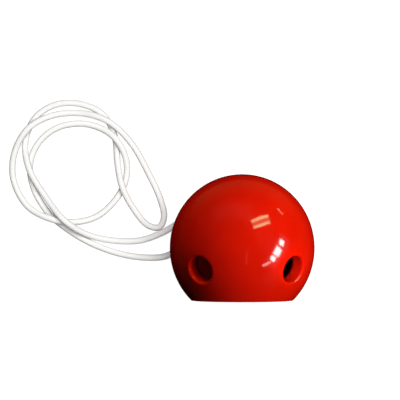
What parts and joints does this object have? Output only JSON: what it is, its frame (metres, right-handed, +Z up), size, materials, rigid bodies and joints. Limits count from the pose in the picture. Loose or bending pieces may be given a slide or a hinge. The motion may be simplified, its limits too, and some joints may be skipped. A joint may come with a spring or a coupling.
{
  "type": "clown nose with elastic cord",
  "caption": "Hollow ball-shaped clown nose with two nostril holes and an open flat face, on a loop of round elastic cord laid beside it.",
  "frame": {"origin": "bottom centre of the nose's own box, on the surface that it lies on", "axes": "+Z up, the way the nostrils look; -Y is the way the open face looks; +X to the right with the nostrils up and the open face towards the viewer's feet"},
  "size_m": [0.1085, 0.0713, 0.0508],
  "materials": {
    "red_plastic": "glossy moulded plastic",
    "white_elastic": "matt braided elastic"
  },
  "bodies": {
    "root": {"nose_shell": "red_plastic", "elastic_cord": "white_elastic", "knot_left": "white_elastic", "knot_right": "white_elastic"}
  },
  "joints": []
}
